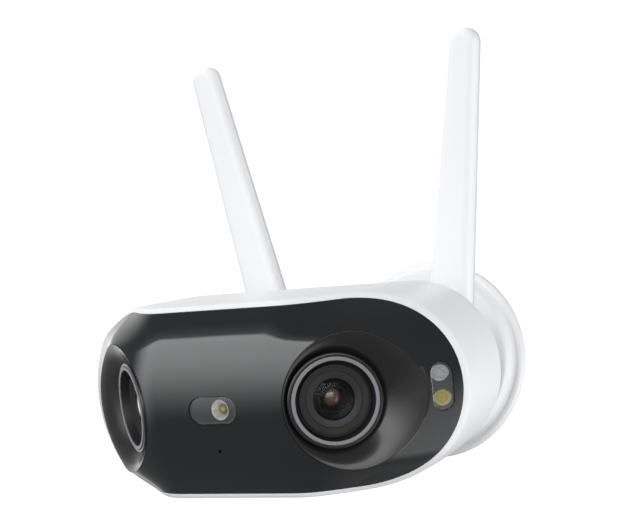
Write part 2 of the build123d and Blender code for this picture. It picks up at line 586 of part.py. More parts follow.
os.makedirs("parts", exist_ok=True)
for node, shape in all_nodes.items():
    export_step(shape, "parts/" + node + ".step")
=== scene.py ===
"""Looks for the dual-lens wall camera: shells, lenses, windows, antennas and studio.

Lengths are in millimetres in the camera's own frame and metres in the row frame. A few shapes
differ slightly from the CAD model's: rounder outer corners on the front, a bowed dish round each
lens, a narrower bezel rim and side window, a flared foot on the plate cover.
"""
import bmesh
import bpy
import json
from math import asin, cos, pi, radians, sin, sqrt, tan
from mathutils import Matrix, Vector


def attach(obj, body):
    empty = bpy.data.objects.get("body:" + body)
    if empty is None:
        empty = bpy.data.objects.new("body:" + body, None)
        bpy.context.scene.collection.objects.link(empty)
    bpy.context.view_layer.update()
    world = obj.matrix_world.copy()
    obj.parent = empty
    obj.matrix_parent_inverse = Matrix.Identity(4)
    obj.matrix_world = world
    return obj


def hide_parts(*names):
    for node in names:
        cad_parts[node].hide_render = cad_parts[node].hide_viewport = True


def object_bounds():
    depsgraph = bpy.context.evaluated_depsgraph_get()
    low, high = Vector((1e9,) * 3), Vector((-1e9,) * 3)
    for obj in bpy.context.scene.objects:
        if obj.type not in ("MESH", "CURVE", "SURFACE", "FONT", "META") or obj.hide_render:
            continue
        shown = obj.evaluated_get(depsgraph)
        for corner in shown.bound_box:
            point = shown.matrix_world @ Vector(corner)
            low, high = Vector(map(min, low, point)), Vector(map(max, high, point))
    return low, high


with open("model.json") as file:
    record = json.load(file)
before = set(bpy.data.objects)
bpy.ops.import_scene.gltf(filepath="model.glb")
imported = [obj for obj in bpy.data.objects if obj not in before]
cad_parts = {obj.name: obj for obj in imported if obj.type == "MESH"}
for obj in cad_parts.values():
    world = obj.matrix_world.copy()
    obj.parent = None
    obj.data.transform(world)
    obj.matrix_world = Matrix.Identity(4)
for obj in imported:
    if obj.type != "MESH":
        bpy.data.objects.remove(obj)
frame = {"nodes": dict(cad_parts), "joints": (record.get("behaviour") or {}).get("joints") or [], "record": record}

cad_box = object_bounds()
MM = 0.001
nodes = frame["nodes"]
joints = {joint["name"]: joint for joint in frame["joints"]}

# ---- the camera's own frame, in millimetres: X right, Y back along the arm, Z up ---------
POD_BACK = 106.0
axis_x = Vector(joints["tilt"]["axis"])
axis_y = Vector(joints["roll"]["axis"])
axis_z = axis_x.cross(axis_y)
origin = Vector(joints["roll"]["pos_m"]) - axis_y * POD_BACK * MM
TURN = Matrix((axis_x, axis_y, axis_z)).transposed()
CAMERA = Matrix.Translation(origin) @ TURN.to_4x4() @ Matrix.Scale(MM, 4)
WALL = Matrix.Scale(MM, 4)

# ---- the viewer, placed from the camera's own frame --------------------------------------
VIEW_YAW = radians(31.58)
VIEW_PITCH = radians(2.69)
VIEW_ROLL = radians(-6.21)
VIEW_OFFSET = (-32.16, 55.76, 778.0)
VIEW_LENS = 110.74
VIEW_SENSOR = 36.0
VIEW_CLIP = (0.01, 50)

# ---- housing and front, in millimetres ---------------------------------------------------
HALF_WIDTH = 93.9
HALF_HEIGHT = 40.0
REAR_HALF_WIDTH = 90.6
REAR_HALF_HEIGHT = 36.8
REAR_RISE = 2.6
HOUSING_REAR = 67.0
TAPER_START = 18.0
LIP = 2.0
LIP_LAND = 1.4
LIP_EDGE = 0.9
REAR_EDGE = 0.7
REAR_RETURN = 3.4
REAR_RETURN_DEPTH = 8.0
WALL_ROWS = 18
OUTLINE_STEPS = 320
SEAM = 0.12
FRONT_Y = -13.66
FRONT_STRAIGHT = 26.3
FRONT_ARC = 57.6
FRONT_END_ANGLE = radians(48.5)
FRONT_DOME = 72.8
PANEL_DEPTH = 2.6
PANEL_RING_GAP = 1.3
# The panel's edge as (inset from its outline, depth behind the front).
PANEL_EDGE = ((0.45, 0.0), (0.15, 0.04), (0.03, 0.12), (0.0, 0.3), (0.0, PANEL_DEPTH))

# The front's upper and lower outer corners are rounder than its swept arcs: how deep, from which
# height and width on, and how the depth divides between inward and backward.
CORNER_DEPTH = 9.0
CORNER_RISE = (25.0, 46.4)
CORNER_RUN = (30.0, 58.0)
CORNER_INWARD = 0.458
CORNER_BACKWARD = 0.889

# ---- lenses ------------------------------------------------------------------------------
LENS_CENTRE = Vector((50.8, -0.6, -1.5))
LENS_TURN = radians(39.2)
LENS_DROOP = radians(2.5)
RING_OUTER = 17.8
RING_INNER = 16.2
SHOULDER_OUTER = 19.4
RIM_RADIUS = 26.4
RIM_OFFSET = 3.5
RIM_RISE = 0.4
RIM_HEIGHT = 1.25
FUNNEL_FLOOR = -3.2
RIM_LAND = 0.45
RIM_SEARCH = (0.1, 2.5)
RIM_SEARCH_STEPS = 40
BEZEL_GAP = 0.25
BEZEL_STEPS = 256
# The bezel's rim as (growth beyond the dish's cone, depth behind the front), outside in.
BEZEL_EDGE = (
    (RIM_LAND, 2.4), (RIM_LAND, 0.25), (RIM_LAND - 0.08, 0.1), (RIM_LAND - 0.16, 0.05),
    (0.18, 0.05), (0.07, 0.1), (0.0, 0.22),
)
BORE_HEIGHTS = (FUNNEL_FLOOR - 0.15, FUNNEL_FLOOR - 3.5)
DISH_SWELL = 0.17
DISH_ROWS = 18
# How far along the cone the cutter of the panel's well runs.
WELL_REACH = (-1.2, 3.8)
RING_STEPS = 200

# Turned profiles of one lens as (radius, height, corner radius), outside in.
SHOULDER_PROFILE = (
    (SHOULDER_OUTER, -9.0, 0), (SHOULDER_OUTER, -0.5, 0.8), (17.95, -0.5, 0.15), (17.95, -3.3, 0),
    (RING_INNER, -3.3, 0), (RING_INNER, -9.0, 0),
)
RING_PROFILE = (
    (RING_OUTER, -3.1, 0), (RING_OUTER, 0.0, 0.4), (RING_INNER + 0.05, -0.12, 0.15),
    (RING_INNER + 0.05, -0.5, 0.05), (16.6, -0.65, 0), (16.6, -3.1, 0),
)
GAP_PROFILE = (
    (16.15, -8.5, 0), (16.15, -3.35, 0), (16.5, -3.2, 0), (16.5, -0.75, 0), (16.2, -0.6, 0.1),
    (15.7, -2.6, 0), (15.3, -5.2, 0.3), (14.3, -5.4, 0.1), (14.3, -8.5, 0),
)
BAFFLE_PROFILE = ((14.2, -8.0, 0), (14.2, -3.7, 0.2), (11.45, -4.25, 0.1), (11.45, -8.0, 0))
BARREL_PROFILE = ((11.35, -9.0, 0), (11.35, -4.3, 0.15), (8.45, -4.75, 0.15), (8.35, -9.0, 0))
CELL_PROFILE = (
    (8.3, -5.4, 0), (5.7, -7.4, 0.1), (5.45, -7.0, 0.12), (5.1, -7.0, 0.12), (4.9, -7.6, 0.1),
    (3.3, -9.4, 0.1), (3.1, -11.0, 0), (8.3, -11.0, 0),
)
# Glass elements as (radius, base height, crown).
FRONT_ELEMENT = (8.3, -5.3, 1.9)
REAR_ELEMENT = (3.2, -9.6, 1.1)

# ---- windows -----------------------------------------------------------------------------
STATUS_WIDTH = 22.6
STATUS_HEIGHT = 10.9
STATUS_Z = -1.8
LED_X = 3.2
MIC_Z = -19.0
MIC_RADIUS = 0.7
SIDE_CENTRE = Vector((85.85, 24.4, -0.6))
SIDE_TURN = radians(48.8)
SIDE_HEIGHT = 19.2
SIDE_WIDTH = 8.9
SLOT_GAP = 0.22
FRONT_SLOT_REACH = (0, 30)
SIDE_SLOT_REACH = (-12, 12)
GLASS_SETBACK = 0.25
GLASS_THICK = 1.0
GLASS_EDGE = 0.35
# Steps and stride of the search for the front straight ahead of a window's plane.
AHEAD_STEPS = 30
AHEAD_STRIDE = 0.7

# Status window: the lamp's cup and its phosphor ring as turned profiles of (radius, height) and
# a corner radius, its base and emitter as (radius, low, high, crown), then the tray behind and
# the light guide at the window's right end.
CUP_WELL = ((0.01, -3.6), (4.2, -3.6), (4.2, 2.0), (0.01, 2.0))
CUP_PROFILE = (
    (4.15, -3.5, 0), (4.15, -0.05, 0.1), (3.85, 0.0, 0.2), (3.3, -0.75, 0.3), (2.5, -2.1, 0.3),
    (2.0, -3.1, 0.3), (0.05, -3.15, 0), (0.05, -3.5, 0),
)
GLOW_PROFILE = ((2.62, -1.95), (2.05, -2.95), (1.95, -2.95), (1.95, -3.1), (2.15, -3.1), (2.75, -1.95))
LAMP_BASE = (1.92, -3.14, -3.0, 0.05)
LAMP_EMITTER = (1.15, -2.9, -2.3, 0.5)
STATUS_TRAY_GAP = 0.1
STATUS_TRAY_THICK = 3.9
STATUS_TRAY_GROW = 0.3
GUIDE_SPAN = 1.2
GUIDE_INSET = 0.45
GUIDE_SHIFT = 0.1
GUIDE_STEPS = 48
GUIDE_DEPTHS = (0.25, -0.02)

# Side window: two lamps over one tray.
SIDE_TRAY_GAP = 0.35
SIDE_TRAY_THICK = 1.6
SIDE_TRAY_GROW = 0.2
TRAY_EDGE = 0.1
LAMP_RAISE = 0.5
LAMP_SPREAD = 4.3
LAMP_SHIFT = -0.3
LAMP_MARGIN = 0.5
LAMP_CAP_SHARE = 0.7
LAMP_DEPTH = -1.2
LAMP_CAP_RISE = (0.08, 0.2)

# ---- antennas ----------------------------------------------------------------------------
ANTENNA_X = 44.5
ANTENNA_Z = 8.0
ANTENNA_FRONT = 108.3
ANTENNA_SPLIT = 114.4
ANTENNA_BACK = 117.2
ANTENNA_REACH = 133.0
ANTENNA_BASE_R = 10.5
ANTENNA_TIP_R = 6.3
ANTENNA_LEANS = {"left": radians(-11.2), "right": radians(10.0)}
BLADE_EDGE = 3.2
BLADE_BACK_EDGE = 1.4
BLADE_SEAM = 0.05
BLADE_CORE = 6.2

# ---- wall plate's cover, a drum flared at its foot ---------------------------------------
DISC_RADIUS = 43.8
DISC_FLARE = 1.3
DISC_WALL = 3.6
DISC_FACE = 2.2
DISC_FRONT = 13.6
DISC_FOOT = 6.02
NECK_OPENING = (9.12, 12.12)
NECK_REACH = (-2.0, 30.0)


# ---- mesh helpers ------------------------------------------------------------------------
SMOOTH_ANGLE = 35.0
MERGE_DISTANCE = 1e-7


def make_object(name, verts, faces, place, smooth_angle=SMOOTH_ANGLE):
    """A mesh object from points in a local frame; place takes them to the row frame."""
    mesh = bpy.data.meshes.new(name)
    mesh.from_pydata([place @ Vector(v) for v in verts], [], faces)
    mesh.validate()
    obj = bpy.data.objects.new(name, mesh)
    bpy.context.scene.collection.objects.link(obj)
    tidy_mesh(obj, smooth_angle)
    return obj


def tidy_mesh(obj, smooth_angle=SMOOTH_ANGLE):
    """Consistent outward normals, smooth faces and sharp edges above the angle."""
    bm = bmesh.new()
    bm.from_mesh(obj.data)
    bmesh.ops.remove_doubles(bm, verts=bm.verts, dist=MERGE_DISTANCE)
    bmesh.ops.recalc_face_normals(bm, faces=bm.faces)
    limit = radians(smooth_angle)
    for face in bm.faces:
        face.smooth = True
    for edge in bm.edges:
        two_sided = len(edge.link_faces) == 2
        edge.smooth = two_sided and edge.calc_face_angle(pi) < limit
    bm.to_mesh(obj.data)
    bm.free()
    return obj


def loft(name, loops, place, closed=False, caps=(False, False), smooth_angle=SMOOTH_ANGLE):
    """Skin of quads through loops with the same number of points.

    closed joins the last loop to the first; caps fills the first and the last loop.
    """
    count = len(loops[0])
    verts = [point for loop in loops for point in loop]
    faces = []
    spans = len(loops) if closed else len(loops) - 1
    for i in range(spans):
        low = i * count
        high = ((i + 1) % len(loops)) * count
        for k in range(count):
            nxt = (k + 1) % count
            faces.append((low + k, low + nxt, high + nxt, high + k))
    if caps[0]:
        faces.extend(ladder(0, count))
    if caps[1]:
        faces.extend(ladder((len(loops) - 1) * count, count))
    return make_object(name, verts, faces, place, smooth_angle)


def ladder(start, count):
    """Faces across an even loop that is symmetric about its first point."""
    rungs = [(start, start + 1, start + count - 1)]
    half = count // 2
    for k in range(1, half - 1):
        rungs.append((start + k, start + k + 1, start + count - k - 1, start + count - k))
    rungs.append((start + half - 1, start + half, start + half + 1))
    return rungs


def turned(name, profile, place, count=160, smooth_angle=30.0):
    """Ring turned about the local Z axis from a closed profile of (radius, height) points."""
    loops = []
    for radius, height in profile:
        loop = []
        for k in range(count):
            angle = 2 * pi * k / count
            loop.append((radius * cos(angle), radius * sin(angle), height))
        loops.append(loop)
    return loft(name, loops, place, closed=True, smooth_angle=smooth_angle)


def round_corner(start, corner, end, radius, steps=4):
    """Points of a rounded corner in a profile, from one leg to the other."""
    to_start = (Vector(start) - Vector(corner)).normalized()
    to_end = (Vector(end) - Vector(corner)).normalized()
    first = Vector(corner) + to_start * radius
    last = Vector(corner) + to_end * radius
    points = []
    for i in range(steps + 1):
        t = i / steps
        a = first.lerp(Vector(corner), t)
        b = Vector(corner).lerp(last, t)
        points.append(tuple(a.lerp(b, t)))
    return points


def rounded(profile, steps=4):
    """A closed profile of (radius, height, corner radius) rows with its corners rounded."""
    corners = [(radius, height) for radius, height, _ in profile]
    points = []
    for i, corner in enumerate(corners):
        bend = profile[i][2]
        if bend == 0:
            points.append(corner)
            continue
        after = corners[(i + 1) % len(corners)]
        points.extend(round_corner(corners[i - 1], corner, after, bend, steps))
    return points


def cut(obj, *cutters):
    """Cuts the cutters out of obj for good and removes them."""
    for cutter in cutters:
        modifier = obj.modifiers.new("cut", "BOOLEAN")
        modifier.operation = "DIFFERENCE"
        modifier.solver = "EXACT"
        modifier.object = cutter
        bpy.context.view_layer.update()
        graph = bpy.context.evaluated_depsgraph_get()
        mesh = bpy.data.meshes.new_from_object(obj.evaluated_get(graph))
        obj.modifiers.clear()
        obj.data = mesh
        bpy.data.objects.remove(cutter)
    return tidy_mesh(obj)


def front_y(x, z):
    """Y of the domed front: a vertical arc swept along a straight, arc and straight plan."""
    setback = FRONT_DOME - sqrt(FRONT_DOME**2 - z**2)
    radius = FRONT_ARC - setback
    run = max(abs(x) - FRONT_STRAIGHT, 0.0)
    arc_run = radius * sin(FRONT_END_ANGLE)
    on_arc = min(run, arc_run)
    return FRONT_Y + FRONT_ARC - sqrt(radius**2 - on_arc**2) + (run - on_arc) * tan(FRONT_END_ANGLE)


def pill_point(t, half_width, half_height):
    """Point at fraction t round a pill outline, starting at its right end, and its arc length."""
    straight = 2 * (half_width - half_height)
    arc = pi * half_height
    total = 2 * (straight + arc)
    s = (t * total + arc / 2) % total
    if s < arc:
        angle = s / half_height - pi / 2
        return half_width - half_height + half_height * cos(angle), half_height * sin(angle)
    if s < arc + straight:
        return half_width - half_height - (s - arc), half_height
    if s < 2 * arc + straight:
        angle = (s - arc - straight) / half_height + pi / 2
        return -(half_width - half_height) + half_height * cos(angle), half_height * sin(angle)
    return -(half_width - half_height) + (s - 2 * arc - straight), -half_height


def smooth_step(low, high, value):
    """0 below low, 1 above high and a smooth rise between."""
    t = min(max((value - low) / (high - low), 0.0), 1.0)
    return t * t * (3 - 2 * t)


def softened(x, y, z):
    """The point drawn in and back where the front's upper and lower outer corners are rounder."""
    depth = CORNER_DEPTH * smooth_step(*CORNER_RISE, abs(z)) * smooth_step(*CORNER_RUN, abs(x))
    inward = -depth if x > 0 else depth
    return x + CORNER_INWARD * inward, y + CORNER_BACKWARD * depth, z


def section(y):
    """Half width, half height and rise of the housing's outline at depth y."""
    t = min(max((y - TAPER_START) / (HOUSING_REAR - TAPER_START), 0.0), 1.0)
    ease = t * t * (1.5 - 0.5 * t)
    half_width = HALF_WIDTH + (REAR_HALF_WIDTH - HALF_WIDTH) * ease
    half_height = HALF_HEIGHT + (REAR_HALF_HEIGHT - HALF_HEIGHT) * ease
    return half_width, half_height, REAR_RISE * ease


def on_housing(t, inset, y):
    """X and Z at fraction t round the housing's outline at depth y, drawn in by inset."""
    half_width, half_height, rise = section(y)
    x, z = pill_point(t, half_width - inset, half_height - inset)
    return x, z + rise


def front_loop(inset, behind):
    """Loop on the domed front at a distance in from the outline and behind the surface."""
    settle_steps = 8
    loop = []
    for k in range(OUTLINE_STEPS):
        t = k / OUTLINE_STEPS
        y = 0.0
        for _ in range(settle_steps):
            x, z = on_housing(t, inset, y)
            y = front_y(x, z) + behind
        loop.append(softened(x, y, z))
    return loop


def depth_loop(inset, y):
    """Loop round the housing at one depth."""
    loop = []
    for k in range(OUTLINE_STEPS):
        x, z = on_housing(k / OUTLINE_STEPS, inset, y)
        loop.append((x, y, z))
    return loop


# ---- materials ---------------------------------------------------------------------------
def new_material(name):
    """A node material, its tree and shader, and the object's own coordinates."""
    material = bpy.data.materials.new(name)
    material.use_nodes = True
    tree = material.node_tree
    shader = tree.nodes["Principled BSDF"]
    place = tree.nodes.new("ShaderNodeTexCoord")
    return material, tree, shader, place.outputs["Object"]


def noise(tree, coords, scale, detail=4.0, rough=0.55):
    """Fractal noise, scale in features per metre."""
    node = tree.nodes.new("ShaderNodeTexNoise")
    node.inputs["Scale"].default_value = scale
    node.inputs["Detail"].default_value = detail
    node.inputs["Roughness"].default_value = rough
    tree.links.new(coords, node.inputs["Vector"])
    return node.outputs["Fac"]


def remap(tree, value, low, high):
    """Noise stretched over its usual span of 0.3 to 0.7 and set between low and high."""
    node = tree.nodes.new("ShaderNodeMapRange")
    node.inputs["From Min"].default_value = 0.3
    node.inputs["From Max"].default_value = 0.7
    node.inputs["To Min"].default_value = low
    node.inputs["To Max"].default_value = high
    tree.links.new(value, node.inputs["Value"])
    return node.outputs["Result"]


def two_tone(tree, factor, first, second):
    """Colour between two tones by a factor."""
    node = tree.nodes.new("ShaderNodeMix")
    node.data_type = "RGBA"
    node.inputs["A"].default_value = (*first, 1)
    node.inputs["B"].default_value = (*second, 1)
    tree.links.new(factor, node.inputs["Factor"])
    return node.outputs["Result"]


def add_bump(tree, shader, height, distance):
    """Fine relief of the surface, distance deep in metres."""
    node = tree.nodes.new("ShaderNodeBump")
    node.inputs["Distance"].default_value = distance
    node.inputs["Strength"].default_value = 1.0
    tree.links.new(height, node.inputs["Height"])
    tree.links.new(node.outputs["Normal"], shader.inputs["Normal"])


def moulded(
    name, colour, shift, rough, grain=0.000012, coat=0.0, spread=0.05, grain_scale=2600, mottle=38
):
    """Moulded plastic: slight colour drift, uneven gloss and a fine moulded grain."""
    material, tree, shader, coords = new_material(name)
    darker = tuple(c * (1 - shift) for c in colour)
    drift = remap(tree, noise(tree, coords, mottle), 0, 1)
    tree.links.new(two_tone(tree, drift, colour, darker), shader.inputs["Base Color"])
    gloss = remap(tree, noise(tree, coords, 130, 5), rough - spread, rough + spread)
    tree.links.new(gloss, shader.inputs["Roughness"])
    add_bump(tree, shader, noise(tree, coords, grain_scale, 3), grain)
    shader.inputs["Coat Weight"].default_value = coat
    shader.inputs["Coat Roughness"].default_value = 0.04
    shader.inputs["IOR"].default_value = 1.5
    return material


def metal(name, colour, rough, line_scale=(1, 1, 1)):
    """Turned or brushed metal with fine lines and uneven sheen."""
    material, tree, shader, coords = new_material(name)
    mapping = tree.nodes.new("ShaderNodeMapping")
    mapping.inputs["Scale"].default_value = line_scale
    tree.links.new(coords, mapping.inputs["Vector"])
    lines = noise(tree, mapping.outputs["Vector"], 900, 3)
    drift = remap(tree, noise(tree, coords, 120), 0, 1)
    darker = tuple(c * 0.88 for c in colour)
    tree.links.new(two_tone(tree, drift, colour, darker), shader.inputs["Base Color"])
    tree.links.new(remap(tree, lines, rough * 0.8, rough * 1.25), shader.inputs["Roughness"])
    add_bump(tree, shader, lines, 0.000006)
    shader.inputs["Metallic"].default_value = 1.0
    return material


def clear(name, tint, rough, shift=0.03):
    """Clear moulded plastic or glass, faintly uneven."""
    material, tree, shader, coords = new_material(name)
    other = tuple(c * (1 - shift) for c in tint)
    drift = remap(tree, noise(tree, coords, 220), 0, 1)
    tree.links.new(two_tone(tree, drift, tint, other), shader.inputs["Base Color"])
    gloss = remap(tree, noise(tree, coords, 700, 4), rough * 0.6, rough * 1.5)
    tree.links.new(gloss, shader.inputs["Roughness"])
    shader.inputs["Transmission Weight"].default_value = 1.0
    shader.inputs["IOR"].default_value = 1.45
    return material


def set_inputs(material, values):
    """Sets plain inputs of the material's shader by name."""
    shader = material.node_tree.nodes["Principled BSDF"]
    for name, value in values.items():
        shader.inputs[name].default_value = value
    return material


# Shells, panel and bezels.
# The first white is a darker copy of the white plastic for the antennas' back shells: painted shade on the backs
# of the blades.
painted_shade_white = moulded("painted_shade_white_plastic", (0.60, 0.604, 0.615), 0.015, 0.36, grain=0.000008)
white = moulded("white_plastic", (0.795, 0.799, 0.810), 0.015, 0.34, grain=0.000008)
gloss_black = moulded(
    "gloss_black", (0.010, 0.011, 0.012), 0.15, 0.07, grain=0.0000006, coat=0.35, spread=0.02
)
satin_black = moulded("satin_black", (0.010, 0.010, 0.0105), 0.15, 0.27, grain=0.0000006, coat=0.25)

# Lens pieces.
matt_black = moulded("matt_black", (0.008, 0.008, 0.008), 0.2, 0.55, grain=0.00001)
baffle_brown = moulded(
    "baffle_brown", (0.013, 0.012, 0.0095), 0.35, 0.7, grain=0.00006, grain_scale=1800
)
barrel_grey = moulded("barrel_grey", (0.013, 0.0135, 0.015), 0.1, 0.45, grain=0.000008)
ring_silver = moulded("ring_satin", (0.20, 0.206, 0.222), 0.06, 0.42, grain=0.000004)
cell_black = moulded("cell_black", (0.004, 0.005, 0.005), 0.2, 0.5, grain=0.0000004)
set_inputs(cell_black, {"Specular IOR Level": 0.15})
lens_clear = clear("lens_clear", (0.86, 0.92, 0.89), 0.003)
set_inputs(lens_clear, {"IOR": 1.2})
coated = moulded(
    "coated_element", (0.14, 0.046, 0.038), 0.2, 0.05, grain=0.00000004, coat=1.0, spread=0.01
)
set_inputs(coated, {"Specular Tint": (0.7, 1.0, 0.85, 1)})

# Windows and lamps.
clear_window = clear("clear_window", (0.93, 0.94, 0.95), 0.05)
tray_grey = moulded("tray_grey", (0.066, 0.066, 0.069), 0.5, 0.45, grain=0.00001, mottle=1100)
cup_silver = moulded("cup_silver", (0.86, 0.86, 0.80), 0.12, 0.25, grain=0.000004)
set_inputs(cup_silver, {"Metallic": 0.35})
phosphor = moulded("phosphor", (0.62, 0.50, 0.14), 0.25, 0.5, grain=0.00001)
lamp_dark = moulded("lamp_dark", (0.20, 0.185, 0.12), 0.3, 0.4)
frosted = moulded("frosted_guide", (0.34, 0.34, 0.32), 0.8, 0.35, grain=0.00006, mottle=900)
frost_silver = moulded(
    "frost_silver", (0.70, 0.705, 0.71), 0.6, 0.3, grain=0.00008, grain_scale=1200, mottle=1000
)
frost_rim = moulded("frost_rim", (0.56, 0.56, 0.57), 0.3, 0.35, grain=0.00006, grain_scale=1500)
amber = moulded(
    "amber_lamp", (0.60, 0.49, 0.085), 0.5, 0.35, grain=0.00006, grain_scale=1500, mottle=1000
)
amber_rim = moulded("amber_rim", (0.55, 0.49, 0.22), 0.25, 0.35, grain=0.00006, grain_scale=1500)

# Inner pieces and fasteners.
steel = metal("steel", (0.55, 0.55, 0.57), 0.3)
sink_alu = metal("sink_aluminium", (0.6, 0.61, 0.63), 0.4, (1, 1, 14))
board_green = moulded("board_green", (0.01, 0.07, 0.035), 0.3, 0.35, coat=0.4)
chip_black = moulded("chip_black", (0.02, 0.02, 0.022), 0.2, 0.5)
rubber = moulded("rubber", (0.03, 0.03, 0.032), 0.2, 0.7, grain=0.00003)
copper = metal("copper", (0.7, 0.36, 0.2), 0.3)

# The CAD nodes' materials by slot. Nodes that a new piece stands for are hidden by it.
BY_SLOT = {
    "white_shell": white,
    "black_gloss": gloss_black,
    "black_satin": satin_black,
    "baffle_brown": baffle_brown,
    "ring_metal": ring_silver,
    "lens_glass": lens_clear,
    "window_clear": clear_window,
    "lamp_white": white,
    "lamp_amber": white,
    "board_green": board_green,
    "chip_black": chip_black,
    "steel": steel,
    "sink_alu": sink_alu,
    "copper": copper,
    "seal_rubber": rubber,
}
for subpart in frame["record"]["subparts"]:
    node = nodes[subpart["node"]]
    node.data.materials.clear()
    node.data.materials.append(BY_SLOT[subpart["material_slot"]])


def piece(obj, material, body, slot, *stands_for):
    """Gives a new piece its material, the body that it rides on and what it stands for."""
    obj.data.materials.clear()
    obj.data.materials.append(material)
    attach(obj, body)
    if stands_for:
        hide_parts(*stands_for)
    return obj


# ---- housing -----------------------------------------------------------------------------
def housing():
    """White shell: well for the panel, thin land, soft outer edge, wall and rear edge."""
    well_edge = ((0.0, PANEL_DEPTH + SEAM), (0.0, 0.3), (0.05, 0.12), (0.2, 0.0))
    loops = [front_loop(LIP - out, behind) for out, behind in well_edge]
    loops.append(front_loop(LIP_LAND, 0.0))
    front_rows, rear_rows = 6, 3
    for i in range(front_rows + 1):
        angle = pi / 2 * i / front_rows
        loops.append(front_loop(LIP_EDGE * (1 - sin(angle)), LIP_EDGE * (1 - cos(angle))))
    start = loops[-1]
    for i in range(1, WALL_ROWS):
        t = i / WALL_ROWS
        row = []
        for k, (x, y, _) in enumerate(start):
            depth = y + (HOUSING_REAR - REAR_EDGE - y) * t
            plain_x, _ = on_housing(k / OUTLINE_STEPS, 0.0, y)
            wall_x, wall_z = on_housing(k / OUTLINE_STEPS, 0.0, depth)
            row.append((wall_x + (x - plain_x) * (1 - t) ** 2, depth, wall_z))
        loops.append(row)
    for i in range(rear_rows + 1):
        angle = pi / 2 * i / rear_rows
        depth = HOUSING_REAR - REAR_EDGE * (1 - sin(angle))
        loops.append(depth_loop(REAR_EDGE * (1 - cos(angle)), depth))
    loops.append(depth_loop(REAR_RETURN, HOUSING_REAR))
    loops.append(depth_loop(REAR_RETURN, HOUSING_REAR - REAR_RETURN_DEPTH))
    return loft("housing_shell", loops, CAMERA, smooth_angle=50)


piece(housing(), white, "camera", "white_shell", "front_housing")


# ---- lens frame --------------------------------------------------------------------------
level_run = cos(LENS_DROOP)
lens_axis = Vector((sin(LENS_TURN) * level_run, -cos(LENS_TURN) * level_run, -sin(LENS_DROOP)))
lens_out = Vector((cos(LENS_TURN), sin(LENS_TURN), 0))
lens_up = lens_axis.cross(lens_out)
LENS = Matrix.Translation(LENS_CENTRE) @ Matrix((lens_out, lens_up, lens_axis)).transposed().to_4x4()
MIRROR = Matrix.Diagonal((-1, 1, 1, 1))
SIDES = {"right": CAMERA, "left": CAMERA @ MIRROR}


def cone_point(angle, along, grow=0.0):
    """Point on the lens's oblique cone, in the camera's frame."""
    low = SHOULDER_OUTER + grow
    high = RIM_RADIUS + grow
    base = Vector((low * cos(angle), low * sin(angle), FUNNEL_FLOOR))
    rim = Vector((RIM_OFFSET + high * cos(angle), RIM_RISE + high * sin(angle), RIM_HEIGHT))
    return LENS @ base.lerp(rim, along)


def rim_fraction(angle, grow, behind=0.0):
    """How far up the cone its wall meets the domed front moved back by behind."""
    low, high = RIM_SEARCH
    for _ in range(RIM_SEARCH_STEPS):
        middle = (low + high) / 2
        point = cone_point(angle, middle, grow)
        if point.y > front_y(point.x, point.z) + behind:
            low = middle
        else:
            high = middle
    return (low + high) / 2


def cone_loop(grow, behind=0.0, share=1.0):
    """Loop round the cone where it meets the front, or at a share of the way up to there."""
    loop = []
    for k in range(BEZEL_STEPS):
        angle = 2 * pi * k / BEZEL_STEPS
        loop.append(tuple(cone_point(angle, rim_fraction(angle, grow, behind) * share, grow)))
    return loop


def dish(rim, floor, steps):
    """Loops down the bowl, gentle at the rim and steeper at the bore."""
    loops = []
    for i in range(1, steps):
        t = i / steps
        swell = DISH_SWELL * 4 * t * (1 - t)
        row = []
        for high, low in zip(rim, floor):
            down = Vector(high).lerp(Vector(low), t)
            row.append(tuple(down + lens_axis * swell * (Vector(high) - Vector(low)).dot(lens_axis)))
        loops.append(row)
    return loops


def bezel(name, place):
    """Dish round the lens, from behind its rim over the rim and down to the bore."""
    loops = [cone_loop(grow, behind) for grow, behind in BEZEL_EDGE]
    floor = cone_loop(0, 0, 0.0)
    loops += dish(loops[-1], floor, DISH_ROWS)
    loops.append(floor)
    bore = SHOULDER_OUTER + SEAM
    for height in BORE_HEIGHTS:
        ring = []
        for k in range(BEZEL_STEPS):
            angle = 2 * pi * k / BEZEL_STEPS
            ring.append(tuple(LENS @ Vector((bore * cos(angle), bore * sin(angle), height))))
        loops.append(ring)
    return loft(name, loops, place, smooth_angle=28)


def lens(side, place):
    """Every visible piece of one lens, from the bezel in to the rear element."""
    at = place @ LENS
    piece(bezel("bezel_" + side, place), satin_black, "camera", "black_satin", "lens_bezel_" + side)
    shoulder = turned("shoulder_" + side, rounded(SHOULDER_PROFILE), at)
    piece(shoulder, satin_black, "camera", "black_satin", "lens_shoulder_" + side)
    ring = turned("metal_ring_" + side, rounded(RING_PROFILE), at, RING_STEPS)
    piece(ring, ring_silver, "camera", "ring_metal", "lens_ring_" + side)
    gap = turned("gap_" + side, rounded(GAP_PROFILE), at)
    piece(gap, matt_black, "camera", "black_satin", "lens_baffle_" + side)
    piece(turned("baffle_" + side, rounded(BAFFLE_PROFILE), at), baffle_brown, "camera", "baffle_brown")
    barrel = turned("barrel_" + side, rounded(BARREL_PROFILE), at)
    piece(barrel, barrel_grey, "camera", "black_satin", "lens_barrel_" + side)
    piece(turned("cell_" + side, rounded(CELL_PROFILE), at), cell_black, "camera", "black_satin")
    front_element = dome("front_element_" + side, *FRONT_ELEMENT, at)
    piece(front_element, lens_clear, "camera", "lens_glass", "lens_glass_" + side)
    piece(dome("rear_element_" + side, *REAR_ELEMENT, at), coated, "camera", "lens_glass")


def dome(name, radius, base, rise, place, rows=14, count=96):
    """Closed plano-convex element: a shallow cap on a short edge, open by a hair on its axis."""
    hair, edge = 0.02, 0.4
    ball = (radius**2 + rise**2) / (2 * rise)
    profile = [(hair, base - edge), (radius, base - edge)]
    for i in range(rows + 1):
        r = radius * max(1 - i / rows, 0.002)
        profile.append((r, base + sqrt(ball**2 - r**2) - (ball - rise)))
    return turned(name, profile, place, count, smooth_angle=50)


